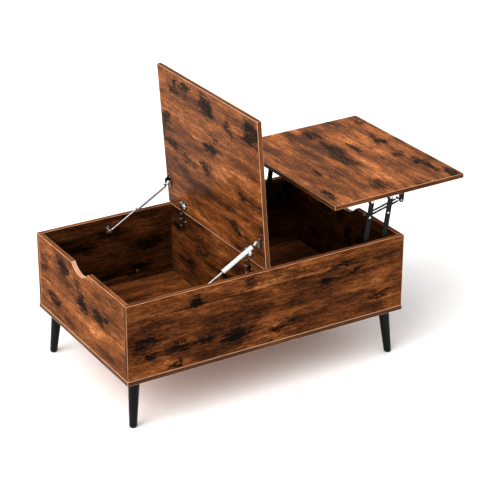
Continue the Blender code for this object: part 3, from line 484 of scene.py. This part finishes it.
COOL = (0.97, 0.985, 1.0)
finishes = {
    "chrome": mottled("plated_steel", [(0.0, grey(0.46, COOL)), (1.0, grey(0.72, COOL))], (420, 420, 260),
                      (0.06, 0.18), (0.10, 0.00006), Metallic=1.0),
    "zinc": mottled("zinc_steel", [(0.0, grey(0.20)), (1.0, grey(0.38))], (500, 500, 500),
                    (0.24, 0.40), (0.18, 0.00008), Metallic=1.0),
    "black_steel": mottled("black_coated_steel", [(0.0, grey(0.004, COOL)), (1.0, grey(0.010, COOL))],
                           (900, 900, 900), (0.34, 0.50), (0.25, 0.00012), Specular_IOR_Level=0.22),
    "spring_steel": mottled("blued_spring_steel", [(0.0, grey(0.012, COOL)), (1.0, grey(0.035, COOL))],
                            (700, 700, 700), (0.28, 0.42), (0.12, 0.00005), Metallic=0.8),
    "black_legs": mottled("black_painted_wood", [(0.0, grey(0.003, COOL)), (1.0, grey(0.008, COOL))],
                          (160, 160, 14), (0.26, 0.42), (0.22, 0.00025), detail=5.0, Specular_IOR_Level=0.22),
    "pads": mottled("rubber_pad", [(0.0, grey(0.012)), (1.0, grey(0.028))], (800, 800, 800),
                    (0.70, 0.88), (0.35, 0.00015)),
    "dull_steel": mottled("dull_steel", [(0.0, grey(0.07)), (1.0, grey(0.20))], (500, 500, 500),
                          (0.20, 0.36), (0.18, 0.00008), Metallic=1.0),
    "strut_tube": mottled("silver_coated_tube", [(0.0, grey(0.62, COOL)), (1.0, grey(0.68, COOL))],
                          (60, 60, 60), (0.24, 0.30), (0.02, 0.00003), Metallic=0.55),
    "plastic": mottled("dark_plastic", [(0.0, grey(0.02)), (1.0, grey(0.05))], (600, 600, 600),
                       (0.42, 0.60), (0.2, 0.0001)),
}

# Each board's tone factor is painted light and shade. The back panel, right end panel and partition are
# darkened as painted shade inside the compartments, the base board and lift top are brightened as painted
# light, and the other boards' factors set how lit each one looks.
wood_of = {
    "front_panel": wood("front_panel", "X", tone_and_painted_light=0.84, rim=0.95, end_line=0.8, end_rim=0.0,
                        smudges=FRONT_SMUDGES, seed=1.3),
    "back_panel": wood("back_panel", "X", tone_and_painted_light=0.52, rim=0.90, smudges=BACK_SMUDGES, seed=4.1),
    "left_end_panel": wood("left_end_panel", "Y", tone_and_painted_light=0.95, rim=0.90, end_line=0.0,
                           smudges=LEFT_SMUDGES, seed=7.7, notch=True),
    "right_end_panel": wood("right_end_panel", "Y", tone_and_painted_light=0.55, rim=0.90, end_line=0.0,
                            smudges=LEFT_SMUDGES, seed=9.2, notch=True),
    "partition": wood("partition", "Y", tone_and_painted_light=0.74, rim=0.60, end_line=0.0, smudges=BACK_SMUDGES, seed=11.6),
    "base_board": wood("base_board", "X", tone_and_painted_light=1.60, rim=0.32, gloss=0.20, smudges=BACK_SMUDGES, seed=14.9),
    "lid": wood("lid", "Y", turn=LID_TURN, tone_and_painted_light=1.02, rim=0.62, gloss=0.08, smudges=LID_SMUDGES, seed=17.4),
    "lift_top": wood("lift_top", "Y", turn=TOP_TILT, tone_and_painted_light=1.55, rim=0.58, gloss=0.07,
                     smudges=TOP_SMUDGES, seed=21.8),
}
# The finish of the nodes whose names start so. The first match counts, and the rest are chrome.
FINISH_OF_PREFIX = {
    "strut_lid_bracket": "dull_steel", "leg_plate": "black_steel", "leg_": "black_legs", "foot_pad": "pads",
    "strut_tube": "strut_tube", "lift_": "black_steel", "top_rail": "black_steel",
}
for node, obj in frame["nodes"].items():
    prefix = next((start for start in FINISH_OF_PREFIX if node.startswith(start)), None)
    look = wood_of.get(node) or finishes[FINISH_OF_PREFIX.get(prefix, "chrome")]
    for material_slot in obj.material_slots:
        material_slot.material = look


# ---------------------------------------------------------------- pieces
# Screw heads. The sizes are parts of the head's radius, and the turns of the cross are in radians.
SCREW_RINGS = 12
SCREW_STEPS = 40
SCREW_DOME = 0.30
SCREW_RIM = 0.16
SCREW_RECESS = 0.34
SCREW_ARM = 0.13
SCREW_ARM_END = 0.62
SCREW_ARM_RUN_OUT = 0.75
FIRST_SCREW_TURN = 0.5
SCREW_TURN_STEP = 1.1

# Turned pieces: (radius, height) points in metres, and how far from the stud or the tube's end they sit
SEAL_PROFILE = [
    (0.0034, 0.0), (0.0058, 0.0), (0.0064, 0.0006), (0.0064, 0.0012), (0.0034, 0.0012), (0.0034, 0.0),
]
SEAL_BELOW_TUBE = 0.0014
CAP_PROFILE = [
    (0.0038, -0.0005), (0.0058, 0.0), (0.0058, 0.0040), (0.0050, 0.0052), (0.0038, 0.0052), (0.0038, -0.0005),
]
CAP_BELOW_STUD = 0.0176
CLIP_RADIUS = 0.0061
CLIP_WIRE = 0.00055
RIVET_PROFILE = [
    (0.0, 0.0016), (0.0024, 0.0014), (0.0038, 0.0008), (0.0043, OFF_FACE), (0.0031, OFF_FACE),
    (0.0031, -0.003), (0.0, -0.003),
]

# Tension springs, in metres and degrees. A hook is an oval arc round its pin, along and across the spring.
WIRE = 0.00065
COIL_PITCH = 0.0023
COIL_STEPS = 12
HOOK_ACROSS = 0.0038
HOOK_ALONG = 0.0069
HOOK_ROOM = 0.0095
HOOK_STEPS = 12
HOOK_START = 200
HOOK_SWEEP = 290


def piece(name, bm, finish, body, smooth=35):
    """A mesh piece that rides on a CAD body. Edges over so many degrees stay sharp."""
    bmesh.ops.recalc_face_normals(bm, faces=bm.faces)
    mesh = bpy.data.meshes.new(name)
    bm.to_mesh(mesh)
    bm.free()
    mesh.shade_smooth()
    mesh.set_sharp_from_angle(angle=math.radians(smooth))
    mesh.materials.append(finishes[finish])
    obj = bpy.data.objects.new(name, mesh)
    bpy.context.scene.collection.objects.link(obj)
    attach(obj, body)
    return obj


def facing(at, out):
    """Places a mesh made along +Z at a point, with its axis along out."""
    return Matrix.Translation(at) @ Vector(out).to_track_quat("Z", "Y").to_matrix().to_4x4()


def turns(steps):
    """Angles at even steps round a circle."""
    return [2 * math.pi * k / steps for k in range(steps)]


def skin(bm, loops):
    """Joins each loop of vertices to the next. A loop of one vertex is a tip."""
    for first, second in zip(loops, loops[1:]):
        for k in range(max(len(first), len(second))):
            quad = (first[k % len(first)], first[(k + 1) % len(first)],
                    second[(k + 1) % len(second)], second[k % len(second)])
            bm.faces.new(list(dict.fromkeys(quad)))


def lathe(bm, profile, matrix, steps=32):
    """Adds a solid turned about Z from (radius, height) points."""
    loops = []
    for radius, height in profile:
        spots = [(radius * math.cos(a), radius * math.sin(a)) for a in turns(steps)] if radius else [(0, 0)]
        loops.append([bm.verts.new(matrix @ Vector((x, y, height))) for x, y in spots])
    skin(bm, loops)


def torus(bm, matrix, radius, wire, steps=40, around=10):
    """Adds a ring of round wire about Z."""
    loops = []
    for turn in turns(steps):
        spoke = matrix @ Matrix.Rotation(turn, 4, "Z")
        loops.append([bm.verts.new(spoke @ Vector((radius + wire * math.cos(a), 0, wire * math.sin(a))))
                      for a in turns(around)])
    skin(bm, loops + loops[:1])


def tube(bm, path, radius, around=8):
    """Adds a wire of round section along a path, closed at both ends."""
    loops = []
    normal = Vector((0, 0, 1))
    for k, point in enumerate(path):
        ahead = (path[min(k + 1, len(path) - 1)] - path[max(k - 1, 0)]).normalized()
        normal = (normal - ahead * normal.dot(ahead)).normalized()
        across = ahead.cross(normal)
        loops.append([bm.verts.new(point + radius * (math.cos(a) * normal + math.sin(a) * across))
                      for a in turns(around)])
    skin(bm, loops)
    bm.faces.new(loops[0])
    bm.faces.new(list(reversed(loops[-1])))


def screw(bm, at, out, radius, turn):
    """Adds a domed screw head with a cross recess, standing on a face."""
    matrix = facing(at, out) @ Matrix.Rotation(turn, 4, "Z")
    dome, rim, recess = SCREW_DOME * radius, SCREW_RIM * radius, SCREW_RECESS * radius
    loops = [[(0, 0, rim + dome - recess)]]
    for step in range(1, SCREW_RINGS + 1):
        reach = radius * step / SCREW_RINGS
        loop = []
        for angle in turns(SCREW_STEPS):
            x, y = reach * math.cos(angle), reach * math.sin(angle)
            height = rim + dome * (1 - (reach / radius) ** 2)
            if min(abs(x), abs(y)) < SCREW_ARM * radius and reach < SCREW_ARM_END * radius:
                height -= recess * (1 - reach / (SCREW_ARM_RUN_OUT * radius))
            loop.append((x, y, height))
        loops.append(loop)
    loops.append([(x, y, 0) for x, y, height in loops[-1]])
    loops.append([(0, 0, 0)])
    skin(bm, [[bm.verts.new(matrix @ Vector(point)) for point in loop] for loop in loops])


def screws(name, places, radius, finish, body):
    """Several screw heads as one piece. Each place is a point and the direction it faces."""
    bm = bmesh.new()
    for k, (at, out) in enumerate(places):
        screw(bm, Vector(at), out, radius, FIRST_SCREW_TURN + SCREW_TURN_STEP * k)
    piece(name, bm, finish, body, 30)


def turned_piece(name, profile, matrix, finish, body):
    """A piece turned from (radius, height) points."""
    bm = bmesh.new()
    lathe(bm, profile, matrix)
    piece(name, bm, finish, body)


def lid_point(point):
    return Matrix.Rotation(LID_TURN, 3, "Y") @ Vector(point)


def top_point(point):
    return Matrix.Rotation(TOP_TILT, 3, "Y") @ Vector(point)


LID_DOWN = lid_point((0, 0, -1))
TOP_DOWN = top_point((0, 0, -1))
LEFTWARDS = (-1, 0, 0)


def leg_plate_screws():
    places = []
    for end in ENDS:
        for side in SIDES:
            middle, low = centre_of(f"leg_plate_{side}_{end}"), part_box(f"leg_plate_{side}_{end}")[0]
            for x in (-1, 1):
                for y in (-1, 1):
                    at = (middle.x + LEG_SCREW_OFFSET * x, middle.y + LEG_SCREW_OFFSET * y, low.z - OFF_FACE)
                    places.append((at, (0, 0, -1)))
    screws("leg_plate_screws", places, LEG_SCREW, "zinc", "carcass")


def hinge_screws(side):
    low, high = turned_box("hinge_cup_" + side, LID_TURN)
    middle = (low + high) / 2
    rows = [(middle.x, middle.y + HINGE_CUP_SCREW_OFFSET * k, low.z - OFF_FACE) for k in (-1, 1)]
    places = [(lid_point(row), LID_DOWN) for row in rows]
    screws("hinge_cup_screws_" + side, places, HINGE_CUP_SCREW, "chrome", "lid")
    low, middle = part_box("hinge_plate_" + side)[0], centre_of("hinge_plate_" + side)
    rows = [(low.x - OFF_FACE, middle.y + HINGE_PLATE_SCREW_OFFSET * k, middle.z) for k in (-1, 1)]
    low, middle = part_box("hinge_arm_" + side)[0], centre_of("hinge_arm_" + side)
    rows += [(low.x - OFF_FACE, middle.y, low.z + rise) for rise in HINGE_ARM_SCREW_RISES]
    places = [(row, LEFTWARDS) for row in rows]
    screws("hinge_plate_screws_" + side, places, HINGE_PLATE_SCREW, "chrome", "carcass")


def strut_details(side, sign):
    """Bracket screws, the tube's seal and cap, and a spring clip round each end of a gas strut."""
    foot = centre_of("strut_panel_bracket_" + side)
    wall = outer_y(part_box("strut_panel_bracket_" + side), sign)
    face = wall - sign * (SHEET + OFF_FACE)
    places = [((foot.x, face, foot.z + STRUT_PANEL_SCREW_OFFSET * k), (0, -sign, 0)) for k in (-1, 1)]
    screws("strut_panel_screws_" + side, places, STRUT_PANEL_SCREW, "chrome", "carcass")

    low, high = turned_box("strut_lid_bracket_" + side, LID_TURN)
    middle = (low + high) / 2
    y = outer_y((low, high), sign) - sign * STRUT_LID_SCREW_INSET
    rows = [(middle.x + STRUT_LID_SCREW_OFFSET * k, y, high.z - SHEET - OFF_FACE) for k in (-1, 1)]
    places = [(lid_point(row), LID_DOWN) for row in rows]
    screws("strut_lid_screws_" + side, places, STRUT_LID_SCREW, "chrome", "lid")

    stud = joint("strut_swing")["pos_m"]
    foot.y = centre_of("strut_tube_" + side).y
    head = Vector((stud[0], foot.y, stud[2]))
    run = (head - foot).normalized()
    tube_end = head - run * (STRUT_STUD_TO_TUBE + STRUT_TUBE_LENGTH)
    at = facing(tube_end - run * SEAL_BELOW_TUBE, run)
    turned_piece("strut_seal_" + side, SEAL_PROFILE, at, "plastic", "strut_tubes")
    at = facing(head - run * CAP_BELOW_STUD, run)
    turned_piece("strut_cap_" + side, CAP_PROFILE, at, "plastic", "strut_tubes")
    for end, at, body in (("top", head, "strut_tubes"), ("foot", foot, "strut_rods")):
        bm = bmesh.new()
        torus(bm, facing(at, (0, 1, 0)), CLIP_RADIUS, CLIP_WIRE)
        piece(f"strut_clip_{end}_{side}", bm, "chrome", body)


def coil_spring(name, node, left, right):
    """A tension spring with a hook round a pin at each end. Its axis is local X, from pin to pin."""
    run = right - left
    coil = SPRING_RADIUS - WIRE
    start, end = HOOK_ROOM, run.length - HOOK_ROOM
    hook = []
    for k in range(HOOK_STEPS + 1):
        angle = math.radians(HOOK_START - HOOK_SWEEP * k / HOOK_STEPS)
        hook.append(Vector((HOOK_ALONG * math.cos(angle), 0, HOOK_ACROSS * math.sin(angle))))
    far_hook = [Vector((run.length - point.x, 0, -point.z)) for point in reversed(hook)]
    coils = []
    steps = round((end - start) / COIL_PITCH) * COIL_STEPS
    for k in range(steps + 1):
        angle = 2 * math.pi * k / COIL_STEPS - math.pi / 2
        x = start + (end - start) * k / steps
        coils.append(Vector((x, coil * math.cos(angle), coil * math.sin(angle))))

    axis, across = run.normalized(), Vector((0, 1, 0))
    matrix = Matrix((axis, across, axis.cross(across))).transposed().to_4x4()
    matrix = Matrix.Translation(left) @ matrix
    bm = bmesh.new()
    tube(bm, [matrix @ point for point in hook + coils + far_hook], WIRE)
    obj = piece(name, bm, "spring_steel", "lift_springs", 60)
    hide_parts(node)
    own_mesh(obj)


def lift_details(side, sign):
    """The coil springs, the screws of the bracket and the rail, and the stop rivet on the right arm."""
    for layer in ("outer", "inner"):
        node = f"lift_spring_{layer}_{side}"
        left, right = centre_of("arm_spring_pin_" + side), centre_of("rail_spring_pin_" + side)
        left.y = right.y = centre_of(node).y
        coil_spring(f"coil_spring_{layer}_{side}", node, left, right)

    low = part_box("lift_bracket_" + side)[0]
    face = outer_y(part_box("lift_bracket_" + side), sign) - sign * (SHEET + OFF_FACE)
    places = [((low.x + x, face, low.z + LIFT_SCREW_RISE), (0, -sign, 0)) for x in LIFT_SCREW_RUNS]
    screws("lift_bracket_screws_" + side, places, LIFT_SCREW, "zinc", "carcass")

    low, high = turned_box("top_rail_" + side, TOP_TILT)
    y = outer_y((low, high), -sign) + sign * RAIL_SCREW_INSET
    rows = [(low.x + x, y, high.z - SHEET - GAP - OFF_FACE) for x in RAIL_SCREW_RUNS]
    places = [(top_point(row), TOP_DOWN) for row in rows]
    screws("rail_screws_" + side, places, RAIL_SCREW, "zinc", "lift_top")

    pivot = joint("lift_follow")["pos_m"]
    up_arm = ARM_PIN_UP_ARM * Vector((math.cos(ARM_RAISED), 0, math.sin(ARM_RAISED)))
    at = Vector((pivot[0], outer_y(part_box("lift_arm_right_" + side), sign), pivot[2])) + up_arm
    name = "arm_stop_rivet_" + side
    turned_piece(name, RIVET_PROFILE, facing(at, (0, sign, 0)), "chrome", "lift_arms_right")


def cam_covers():
    """Round connector caps let into the inner faces of the long panels."""
    for side, sign in SIDES.items():
        face = centre_of(side + "_panel").y - sign * BOARD / 2 - sign * OFF_FACE
        places = [((x, face, CAM_COVER_Z), (0, -sign, 0)) for x in CAM_COVER_X]
        screws("cam_lock_" + side, places, CAM_COVER, "zinc", "carcass")


leg_plate_screws()
for side_name, side_sign in SIDES.items():
    hinge_screws(side_name)
    strut_details(side_name, side_sign)
    lift_details(side_name, side_sign)
cam_covers()


# ---------------------------------------------------------------- stage
def camera():
    yaw, pitch, roll = (math.radians(angle) for angle in (CAMERA_YAW, CAMERA_PITCH, CAMERA_ROLL))
    right = Vector((math.cos(yaw), math.sin(yaw), 0))
    ahead = Vector((-math.sin(yaw) * math.cos(pitch), math.cos(yaw) * math.cos(pitch), -math.sin(pitch)))
    up = right.cross(ahead)
    rolled_right = math.cos(roll) * right + math.sin(roll) * up
    rolled_up = -math.sin(roll) * right + math.cos(roll) * up
    turned = Matrix((rolled_right, rolled_up, -ahead)).transposed().to_4x4()
    data = bpy.data.cameras.new("camera")
    longer = max(PICTURE)
    data.sensor_width = SENSOR
    data.lens = FOCAL_PIXELS / longer * SENSOR
    data.shift_x = (PICTURE[0] / 2 - CENTRE_PIXEL[0]) / longer
    data.shift_y = (CENTRE_PIXEL[1] - PICTURE[1] / 2) / longer
    obj = bpy.data.objects.new("camera", data)
    obj.matrix_world = Matrix.Translation(CAMERA_AT) @ turned
    bpy.context.scene.collection.objects.link(obj)
    bpy.context.scene.camera = obj


def floor():
    bm = bmesh.new()
    bmesh.ops.create_grid(bm, x_segments=8, y_segments=8, size=FLOOR_HALF)
    mesh = bpy.data.meshes.new("floor")
    bm.to_mesh(mesh)
    bm.free()
    s = Shader("pale_floor")
    value = s.noise(s.position(), (2, 2, 2), 3.0)
    shades = [(place, grey(shade)) for place, shade in zip((0.0, 1.0), FLOOR_SHADES)]
    s.set(Base_Color=s.ramp(value, shades), Roughness=0.9)
    s.surface["Specular IOR Level"].default_value = 0.1
    mesh.materials.append(s.material)
    obj = bpy.data.objects.new("floor", mesh)
    bpy.context.scene.collection.objects.link(obj)


def light():
    world = bpy.data.worlds.new("studio")
    bpy.context.scene.world = world
    world.use_nodes = True
    sky = Nodes(world.node_tree)
    direction = sky.add("ShaderNodeTexCoord", {}, "Generated")
    values = {0: direction, 1: Vector(KEY_FROM).normalized()}
    toward = sky.add("ShaderNodeVectorMath", values, "Value", operation="DOT_PRODUCT")
    lobe = sky.math("POWER", sky.math("MAXIMUM", toward, SKY_LOBE_START), SKY_LOBE_POWER)
    background = sky.tree.nodes["Background"].inputs
    sky.feed(background["Color"], (1, 1, 1, 1))
    sky.feed(background["Strength"], sky.math("MULTIPLY_ADD", lobe, SKY_LOBE, SKY_BASE))
    data = bpy.data.lights.new("key", "SUN")
    data.energy = SUN_STRENGTH
    data.angle = math.radians(SUN_ANGLE)
    obj = bpy.data.objects.new("key", data)
    obj.rotation_euler = Vector(KEY_FROM).to_track_quat("Z", "Y").to_euler()
    bpy.context.scene.collection.objects.link(obj)


for startup in ("Cube", "Light", "Camera"):
    if startup in bpy.data.objects:
        bpy.data.objects.remove(bpy.data.objects[startup])
bpy.context.scene.view_settings.view_transform = "Standard"
bpy.context.scene.view_settings.gamma = VIEW_GAMMA
camera()
floor()
light()
